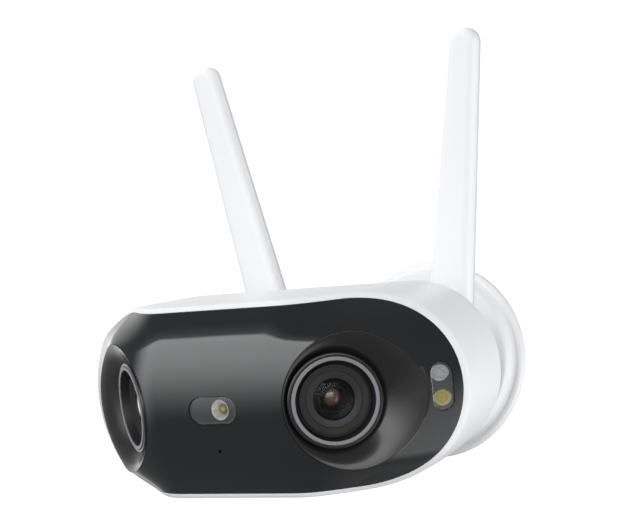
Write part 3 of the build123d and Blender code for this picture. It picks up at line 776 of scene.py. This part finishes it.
for side, place in SIDES.items():
    lens(side, place)


# ---- front panel -------------------------------------------------------------------------
def pill_prism(name, width, height, low, high, place, count=96):
    """Closed pill-shaped prism in the local XY plane between two heights."""
    loops = []
    for level in (low, high):
        loop = []
        for k in range(count):
            u, v = pill_point(k / count, width / 2, height / 2)
            loop.append((u, v, level))
        loops.append(loop)
    return loft(name, loops, place, caps=(True, True))


STATUS = CAMERA @ Matrix.Translation((0, 0, STATUS_Z)) @ Matrix.Rotation(pi / 2, 4, "X")
side_out = Vector((cos(SIDE_TURN), sin(SIDE_TURN), 0))
side_axis = Vector((sin(SIDE_TURN), -cos(SIDE_TURN), 0))
side_down = side_axis.cross(side_out)
side_turn = Matrix((side_out, side_down, side_axis)).transposed()
SIDE_LOCAL = Matrix.Translation(SIDE_CENTRE) @ side_turn.to_4x4()
SIDE = CAMERA @ SIDE_LOCAL
SIDE_TALL = SIDE @ Matrix.Rotation(pi / 2, 4, "Z")


def panel():
    """Glossy domed panel: rings of the outline on the front, over a thin edge, with its openings."""
    outline = LIP + SEAM
    flat = outline + PANEL_EDGE[0][0]
    rings = int((HALF_HEIGHT - LIP) / PANEL_RING_GAP) - 1
    loops = [front_loop(flat + PANEL_RING_GAP * i, 0.0) for i in range(rings, 0, -1)]
    loops += [front_loop(outline + inset, behind) for inset, behind in PANEL_EDGE]
    loops += [front_loop(flat + PANEL_RING_GAP * i, PANEL_DEPTH) for i in range(0, rings + 1, 3)]
    obj = loft("front_panel_skin", loops, CAMERA, caps=(True, True))
    cutters = []
    for place in SIDES.values():
        reach = []
        for share in WELL_REACH:
            ring = []
            for k in range(BEZEL_STEPS):
                angle = 2 * pi * k / BEZEL_STEPS
                ring.append(tuple(cone_point(angle, share, RIM_LAND + BEZEL_GAP)))
            reach.append(ring)
        cutters.append(loft("well", reach, place, caps=(True, True)))
    status_slot = (STATUS_WIDTH + 2 * SLOT_GAP, STATUS_HEIGHT + 2 * SLOT_GAP)
    side_slot = (SIDE_HEIGHT + 2 * SLOT_GAP, SIDE_WIDTH + 2 * SLOT_GAP)
    cutters.append(pill_prism("slot", *status_slot, *FRONT_SLOT_REACH, STATUS))
    cutters.append(pill_prism("slot", *side_slot, *SIDE_SLOT_REACH, SIDE_TALL))
    mic = CAMERA @ Matrix.Translation((0, 0, MIC_Z)) @ Matrix.Rotation(pi / 2, 4, "X")
    mic_hole = (2 * MIC_RADIUS + 0.02, 2 * MIC_RADIUS)
    cutters.append(pill_prism("slot", *mic_hole, *FRONT_SLOT_REACH, mic, count=32))
    return cut(obj, *cutters)


piece(panel(), gloss_black, "camera", "black_gloss", "front_panel")


# ---- windows -----------------------------------------------------------------------------
STATUS_LOCAL = Matrix.Translation((0, FRONT_Y, STATUS_Z)) @ Matrix.Rotation(pi / 2, 4, "X")
SIDE_TALL_LOCAL = SIDE_LOCAL @ Matrix.Rotation(pi / 2, 4, "Z")


def on_front(local, u, v, behind):
    """Point of the domed front straight ahead of (u, v) in a window's own plane."""
    height = 0.0
    point = local @ Vector((u, v, height))
    for _ in range(AHEAD_STEPS):
        height += AHEAD_STRIDE * (point.y - front_y(point.x, point.z) - behind)
        point = local @ Vector((u, v, height))
    return tuple(point)


def pill_ring(local, width, height, shrink, behind, count=96):
    """Pill outline laid on the domed front, drawn in by shrink and moved back by behind."""
    loop = []
    for k in range(count):
        u, v = pill_point(k / count, width / 2 - shrink, height / 2 - shrink)
        loop.append(on_front(local, u, v, behind))
    return loop


def glazing(name, local, width, height, front=GLASS_SETBACK, thick=GLASS_THICK, edge=GLASS_EDGE):
    """Pill-shaped plate that follows the domed front, with a soft front edge."""
    loops = []
    steps = 6
    reach = height / 2 - 0.3
    for i in range(steps, 0, -1):
        loops.append(pill_ring(local, width, height, edge + (reach - edge) * i / steps, front))
    edge_rows = 3
    for i in range(edge_rows + 1):
        angle = pi / 2 * i / edge_rows
        shrink = edge * (1 - sin(angle))
        loops.append(pill_ring(local, width, height, shrink, front + edge * (1 - cos(angle))))
    loops.append(pill_ring(local, width, height, 0.0, front + thick))
    for i in range(1, steps + 1):
        loops.append(pill_ring(local, width, height, reach * i / steps, front + thick))
    return loft(name, loops, CAMERA, caps=(True, True))


def button(name, place, radius, low, high, crown, count=72):
    """Round lens cap: straight side and a shallow crowned face."""
    hair, rows = 0.05, 8
    profile = [(hair, low), (radius, low), (radius, high)]
    for i in range(1, rows + 1):
        share = i / rows
        profile.append((max(radius * (1 - share), hair), high + crown * (1 - (1 - share) ** 2)))
    return turned(name, profile, place, count, smooth_angle=40)


def status_window():
    """Clear pill over a dark tray with the status lamp's bright cup and a frosted light guide."""
    width, height = STATUS_WIDTH, STATUS_HEIGHT
    glass = glazing("status_glass", STATUS_LOCAL, width, height)
    piece(glass, clear_window, "camera", "window_clear", "status_window")
    behind = GLASS_SETBACK + GLASS_THICK + STATUS_TRAY_GAP
    tray_size = (width + STATUS_TRAY_GROW, height + STATUS_TRAY_GROW)
    tray = glazing("status_tray", STATUS_LOCAL, *tray_size, behind, STATUS_TRAY_THICK, TRAY_EDGE)
    at = CAMERA @ STATUS_LOCAL @ Matrix.Translation((LED_X, 0, -behind - 0.1))
    cut(tray, turned("cup_well", CUP_WELL, at, 96))
    piece(tray, tray_grey, "camera", "black_satin", "status_holder")
    piece(turned("lamp_cup", rounded(CUP_PROFILE), at, 96), cup_silver, "camera", "ring_metal")
    piece(turned("lamp_phosphor_glow", GLOW_PROFILE, at, 72), phosphor, "camera", "lamp_amber")
    piece(button("lamp_base", at, *LAMP_BASE), lamp_dark, "camera", "black_satin")
    piece(button("lamp_die", at, *LAMP_EMITTER), phosphor, "camera", "lamp_amber", "status_led")
    radius = height / 2 - GUIDE_INSET
    guide = []
    for depth in GUIDE_DEPTHS:
        loop = []
        for k in range(GUIDE_STEPS):
            angle = GUIDE_SPAN * (2 * k / (GUIDE_STEPS - 1) - 1)
            u = width / 2 - height / 2 + radius * cos(angle) + GUIDE_SHIFT
            loop.append(on_front(STATUS_LOCAL, u, radius * sin(angle), behind + depth))
        guide.append(loop)
    guide_skin = loft("light_guide", guide, CAMERA, caps=(True, True))
    piece(guide_skin, frosted, "camera", "window_clear", "light_sensor")


def side_window():
    """Clear pill with a frosted lamp above an amber one, over a dark tray."""
    glass = glazing("side_glass", SIDE_TALL_LOCAL, SIDE_HEIGHT, SIDE_WIDTH)
    piece(glass, clear_window, "camera", "window_clear", "side_window")
    behind = GLASS_SETBACK + GLASS_THICK + SIDE_TRAY_GAP
    tray_size = (SIDE_HEIGHT + SIDE_TRAY_GROW, SIDE_WIDTH + SIDE_TRAY_GROW)
    tray = glazing("side_tray", SIDE_TALL_LOCAL, *tray_size, behind, SIDE_TRAY_THICK, TRAY_EDGE)
    piece(tray, tray_grey, "camera", "black_satin")
    outer = SIDE_WIDTH / 2 - LAMP_MARGIN
    middle = outer * LAMP_CAP_SHARE
    inner = middle + 0.03
    ring_profile = (
        (outer, LAMP_DEPTH, 0), (outer, 0.0, 0.2), (inner, 0.1, 0.05), (inner, LAMP_DEPTH, 0),
    )
    lamps = (
        ("cool", 1, frost_silver, frost_rim, "lamp_white"),
        ("amber", -1, amber, amber_rim, "lamp_amber"),
    )
    for name, end, material, rim_material, slot in lamps:
        centre = on_front(SIDE_TALL_LOCAL, LAMP_RAISE + end * LAMP_SPREAD, 0, behind)
        at = CAMERA @ Matrix.Translation(centre) @ SIDE_LOCAL.to_3x3().to_4x4()
        at = at @ Matrix.Translation((LAMP_SHIFT, 0, 0))
        cap = button("lamp_cap_" + name, at, middle, LAMP_DEPTH, *LAMP_CAP_RISE)
        piece(cap, material, "camera", slot, "side_lamp_" + name)
        ring = turned("lamp_rim_" + name, rounded(ring_profile), at, 72)
        piece(ring, rim_material, "camera", slot)


status_window()
side_window()


# ---- antennas ----------------------------------------------------------------------------
def capsule_loop(shrink, y, count=160):
    """Outline of the tapered blade, drawn in by shrink, at depth y."""
    base = max(ANTENNA_BASE_R - shrink, 0.15)
    tip = max(ANTENNA_TIP_R - shrink, 0.1)
    lean = asin((ANTENNA_BASE_R - ANTENNA_TIP_R) / ANTENNA_REACH)
    parts = [("tip", 0.26), ("left", 0.24), ("base", 0.26), ("right", 0.24)]
    loop = []
    for name, share in parts:
        steps = round(count * share)
        for i in range(steps):
            t = i / steps
            if name == "tip":
                angle = lean + (pi - 2 * lean) * t
                loop.append((tip * cos(angle), y, ANTENNA_REACH + tip * sin(angle)))
            elif name == "base":
                angle = pi - lean + (pi + 2 * lean) * t
                loop.append((base * cos(angle), y, base * sin(angle)))
            else:
                start = pi - lean if name == "left" else lean
                a = Vector((tip * cos(start), y, ANTENNA_REACH + tip * sin(start)))
                b = Vector((base * cos(start), y, base * sin(start)))
                loop.append(tuple(a.lerp(b, t) if name == "left" else b.lerp(a, t)))
    return loop


def blade(name, place, sections):
    """Closed shell from (shrink, depth) rows, front to back."""
    loops = [capsule_loop(shrink, y) for shrink, y in sections]
    return loft(name, loops, place, caps=(True, True), smooth_angle=40)


def arc_rows(radius, centre_y, start, stop, steps=6):
    """(shrink, depth) rows round a blade's rounded edge."""
    rows = []
    for i in range(steps + 1):
        angle = start + (stop - start) * i / steps
        rows.append((radius * (1 - cos(angle)), centre_y + radius * sin(angle)))
    return rows


def antenna(side, sign):
    """Front and back shell of one blade, meeting at a fine seam."""
    turn = Matrix.Rotation(ANTENNA_LEANS[side], 4, "Y")
    place = CAMERA @ Matrix.Translation((sign * ANTENNA_X, 0, ANTENNA_Z)) @ turn
    body = "antenna_" + side
    front = [(BLADE_CORE, ANTENNA_FRONT), (4.6, ANTENNA_FRONT)]
    front += arc_rows(BLADE_EDGE, ANTENNA_FRONT + BLADE_EDGE, -pi / 2, 0)
    for shrink, ahead in ((0.0, 0.35), (0.05, 0.12), (0.28, 0.02), (4, 0)):
        front.append((shrink, ANTENNA_SPLIT - ahead))
    paddle = blade("paddle_front_" + side, place, front)
    piece(paddle, white, body, "white_shell", "antenna_front_" + side)
    rear = []
    for shrink, behind in ((4, BLADE_SEAM), (0.4, BLADE_SEAM), (0.2, 0.15), (0.15, 0.4)):
        rear.append((shrink, ANTENNA_SPLIT + behind))
    for shrink, y in arc_rows(BLADE_BACK_EDGE, ANTENNA_BACK - BLADE_BACK_EDGE, 0, pi / 2):
        rear.append((0.15 + shrink, y))
    rear += [(4.0, ANTENNA_BACK), (BLADE_CORE, ANTENNA_BACK)]
    back = blade("paddle_back_" + side, place, rear)
    # The back shell wears the darker copy of the white plastic: painted shade on the blade's back half.
    piece(back, painted_shade_white, body, "white_shell", "antenna_back_" + side)


antenna("left", -1)
antenna("right", 1)


# ---- wall disc ---------------------------------------------------------------------------
def wall_disc():
    """Shallow drum over the wall plate, flared at its foot, with the opening for the neck."""
    inner, foot_radius = DISC_RADIUS - DISC_WALL, DISC_RADIUS + DISC_FLARE
    profile = (
        (0.02, DISC_FRONT, 0), (DISC_RADIUS - 0.9, DISC_FRONT, 1.9), (DISC_RADIUS, DISC_FOOT + 1.3, 1.0),
        (foot_radius, DISC_FOOT + 0.04, 0.02), (foot_radius, DISC_FOOT, 0), (inner, DISC_FOOT, 0),
        (inner, DISC_FRONT - DISC_FACE, 1.0), (0.02, DISC_FRONT - DISC_FACE, 0),
    )
    at = WALL @ Matrix.Rotation(pi / 2, 4, "X")
    drum = turned("wall_disc", rounded(profile, 6), at, 220)
    half_w, half_h = NECK_OPENING
    corners = ((half_w, -half_h), (half_w, half_h), (-half_w, half_h), (-half_w, -half_h))
    loops = [[(x, y, level) for x, y in corners] for level in NECK_REACH]
    opening = loft("opening", loops, at)
    bm = bmesh.new()
    bm.from_mesh(opening.data)
    bmesh.ops.holes_fill(bm, edges=bm.edges)
    bmesh.ops.recalc_face_normals(bm, faces=bm.faces)
    bm.to_mesh(opening.data)
    bm.free()
    return cut(drum, opening)


piece(wall_disc(), white, "wall_base", "white_shell", "plate_cover")


# ---- studio ------------------------------------------------------------------------------
def math_node(tree, operation, first, second=None):
    """Result of a math node on sockets or numbers."""
    node = tree.nodes.new("ShaderNodeMath")
    node.operation = operation
    for slot, value in zip(node.inputs, (first, second)):
        if value is None:
            continue
        if isinstance(value, (int, float)):
            slot.default_value = value
        else:
            tree.links.new(value, slot)
    return node.outputs["Value"]


def ramp(tree, value, start, stop, low=0.0, high=1.0):
    """Smooth step of value from low at start to high at stop."""
    node = tree.nodes.new("ShaderNodeMapRange")
    node.interpolation_type = "SMOOTHSTEP"
    for name, number in (("From Min", start), ("From Max", stop), ("To Min", low), ("To Max", high)):
        node.inputs[name].default_value = number
    tree.links.new(value, node.inputs["Value"])
    return node.outputs["Result"]


def along(tree, direction, axis):
    """How far a direction runs along an axis."""
    node = tree.nodes.new("ShaderNodeVectorMath")
    node.operation = "DOT_PRODUCT"
    node.inputs[1].default_value = axis
    tree.links.new(direction, node.inputs[0])
    return node.outputs["Value"]


def glow(tree, azimuth, elevation, across, rise, fall, radiance):
    """Radiance of a soft box in the surroundings: across, rise and fall are soft edges in degrees.

    across is (start, full, full, end) in azimuth, rise its lower edge and fall its upper edge.
    """
    left = ramp(tree, azimuth, radians(across[0]), radians(across[1]))
    right = ramp(tree, azimuth, radians(across[2]), radians(across[3]), 1.0, 0.0)
    low = ramp(tree, elevation, radians(rise[0]), radians(rise[1]))
    high = ramp(tree, elevation, radians(fall[0]), radians(fall[1]), 1.0, 0.0)
    wide = math_node(tree, "MULTIPLY", left, right)
    tall = math_node(tree, "MULTIPLY", low, high)
    return math_node(tree, "MULTIPLY", math_node(tree, "MULTIPLY", wide, tall), radiance)


SURROUND = 0.24
BACKDROP = 1.1
LIGHT_TONE = (0.985, 0.99, 1.0, 1)

# Soft boxes seen by the object, in degrees round the camera's own frame: how the box is shaped,
# its soft edges across, its lower edge, its upper edge and its radiance. A bent box falls away
# past an azimuth, and a leaning one moves sideways with height.
FRONT_BOX_BEND = (radians(-41), 0.5)
LEFT_BOX_LEAN = (radians(22), 1.1)
SOFT_BOXES = (
    ("bent", (-70, -47, 40, 70), (-16, 26), (31, 32.5), 3.3),
    ("bent", (-75, -50, 5, 30), (26, 31), (30, 41), 0.45),
    ("leaning", (-170, -135, -108, -80), (-24, -4), (20, 44), 0.46),
    ("plain", (55, 76, 150, 180), (-74, -50), (-28, 6), 1.15),
    ("plain", (-136, -128, -114, -96), (-30, -10), (2, 10), 1.1),
)

# Area lights: name, azimuth, elevation, distance and size in metres, and radiance.
AREA_LIGHTS = (
    ("overhead", -112, 64, 0.62, (0.5, 0.5), 3.5),
    ("side", 110, -8, 1.1, (0.9, 1.0), 2.25),
)
LIGHTS_AIM = Vector((0, 40, 20))


def surroundings():
    """Pale studio: white behind the object for the camera, soft boxes for light and reflections."""
    world = bpy.data.worlds.new("studio")
    world.use_nodes = True
    bpy.context.scene.world = world
    tree = world.node_tree
    direction = tree.nodes.new("ShaderNodeTexCoord").outputs["Generated"]
    x = along(tree, direction, axis_x)
    y = along(tree, direction, -axis_y)
    z = along(tree, direction, axis_z)
    azimuth = math_node(tree, "ARCTAN2", x, y)
    elevation = math_node(tree, "ARCSINE", z)
    past_bend = math_node(tree, "MAXIMUM", math_node(tree, "SUBTRACT", FRONT_BOX_BEND[0], azimuth), 0.0)
    bent = math_node(tree, "ADD", elevation, math_node(tree, "MULTIPLY", past_bend, FRONT_BOX_BEND[1]))
    above = math_node(tree, "SUBTRACT", elevation, LEFT_BOX_LEAN[0])
    leaning = math_node(tree, "SUBTRACT", azimuth, math_node(tree, "MULTIPLY", above, LEFT_BOX_LEAN[1]))
    frames = {"bent": (azimuth, bent), "leaning": (leaning, elevation), "plain": (azimuth, elevation)}
    total = SURROUND
    for shape, across, rise, fall, radiance in SOFT_BOXES:
        total = math_node(tree, "ADD", total, glow(tree, *frames[shape], across, rise, fall, radiance))
    light = tree.nodes["Background"]
    light.inputs["Color"].default_value = LIGHT_TONE
    tree.links.new(total, light.inputs["Strength"])
    white_wall = tree.nodes.new("ShaderNodeBackground")
    white_wall.inputs["Color"].default_value = (1, 1, 1, 1)
    white_wall.inputs["Strength"].default_value = BACKDROP
    path = tree.nodes.new("ShaderNodeLightPath")
    mix = tree.nodes.new("ShaderNodeMixShader")
    tree.links.new(path.outputs["Is Camera Ray"], mix.inputs["Fac"])
    tree.links.new(light.outputs["Background"], mix.inputs[1])
    tree.links.new(white_wall.outputs["Background"], mix.inputs[2])
    tree.links.new(mix.outputs["Shader"], tree.nodes["World Output"].inputs["Surface"])


FLOOR_DROP = 1.0
FLOOR_REACH = 0.34
FLOOR_TONES = ((0.33, 0.33, 0.33), (0.31, 0.31, 0.31))
# Centre of the floor's painted shadow in metres, then the glow's ramp: the distances where it starts and stops
# rising, and its glow at each.
FLOOR_PAINTED_SHADOW_SPOT = (-0.3, -0.5)
FLOOR_GLOW_AND_PAINTED_SHADOW = (0.4, 1.0, 0.03, 0.1)


def floor():
    """Pale floor well below the wall-hung object, grey in front of it and white further off: the grey is a painted
    shadow, a drop in the floor's glow round a spot in front of the object.
    """
    level = cad_box[0].z - FLOOR_DROP
    mesh = bpy.data.meshes.new("floor")
    corners = [(-1, -1), (1, -1), (1, 1), (-1, 1)]
    mesh.from_pydata([(x * FLOOR_REACH, y * FLOOR_REACH, level) for x, y in corners], [], [(0, 1, 2, 3)])
    obj = bpy.data.objects.new("floor", mesh)
    bpy.context.scene.collection.objects.link(obj)
    material, tree, shader, coords = new_material("floor_paper")
    grain = remap(tree, noise(tree, coords, 40), 0, 1)
    tree.links.new(two_tone(tree, grain, *FLOOR_TONES), shader.inputs["Base Color"])
    shader.inputs["Roughness"].default_value = 0.9
    # Painted shadow: the floor's glow is lowest near a spot in front of the object and rises further off.
    distance = tree.nodes.new("ShaderNodeVectorMath")
    distance.operation = "DISTANCE"
    distance.inputs[1].default_value = (*FLOOR_PAINTED_SHADOW_SPOT, level)
    tree.links.new(coords, distance.inputs[0])
    glow_with_painted_shadow = ramp(tree, distance.outputs["Value"], *FLOOR_GLOW_AND_PAINTED_SHADOW)
    tree.links.new(glow_with_painted_shadow, shader.inputs["Emission Strength"])
    shader.inputs["Emission Color"].default_value = (1, 1, 1, 1)
    mesh.materials.append(material)


def softbox(name, azimuth, elevation, distance, size, radiance):
    """Area light facing the housing from a direction in the camera's own frame."""
    a, e = radians(azimuth), radians(elevation)
    away = (TURN @ Vector((sin(a) * cos(e), -cos(a) * cos(e), sin(e)))).normalized()
    data = bpy.data.lights.new(name, "AREA")
    data.shape = "RECTANGLE"
    data.size, data.size_y = size
    data.energy = radiance * pi * size[0] * size[1]
    light = bpy.data.objects.new(name, data)
    bpy.context.scene.collection.objects.link(light)
    light.location = CAMERA @ LIGHTS_AIM + away * distance
    light.rotation_euler = away.to_track_quat("Z", "Y").to_euler()
    light.visible_camera = False
    light.visible_glossy = False


def viewer():
    """The view camera at the solved place relative to the camera's own frame."""
    turn_yaw = Matrix.Rotation(-VIEW_YAW, 3, "Z")
    to_view = Matrix(((1, 0, 0), (0, 0, -1), (0, 1, 0)))
    pitch = Matrix.Rotation(VIEW_PITCH, 3, "X")
    roll = Matrix.Rotation(VIEW_ROLL, 3, "Z")
    turn = roll @ pitch @ to_view @ turn_yaw
    place = -(turn.transposed() @ Vector(VIEW_OFFSET))
    facing = turn.transposed() @ Matrix.Diagonal((1, -1, -1))
    data = bpy.data.cameras.new("viewer")
    data.sensor_width = VIEW_SENSOR
    data.lens = VIEW_LENS
    data.clip_start, data.clip_end = VIEW_CLIP
    camera = bpy.data.objects.new("viewer", data)
    bpy.context.scene.collection.objects.link(camera)
    camera.matrix_world = Matrix.Translation(CAMERA @ place) @ (TURN @ facing).to_4x4()
    bpy.context.scene.camera = camera


bpy.context.scene.view_settings.view_transform = "Standard"
surroundings()
floor()
viewer()
for area_light in AREA_LIGHTS:
    softbox(*area_light)
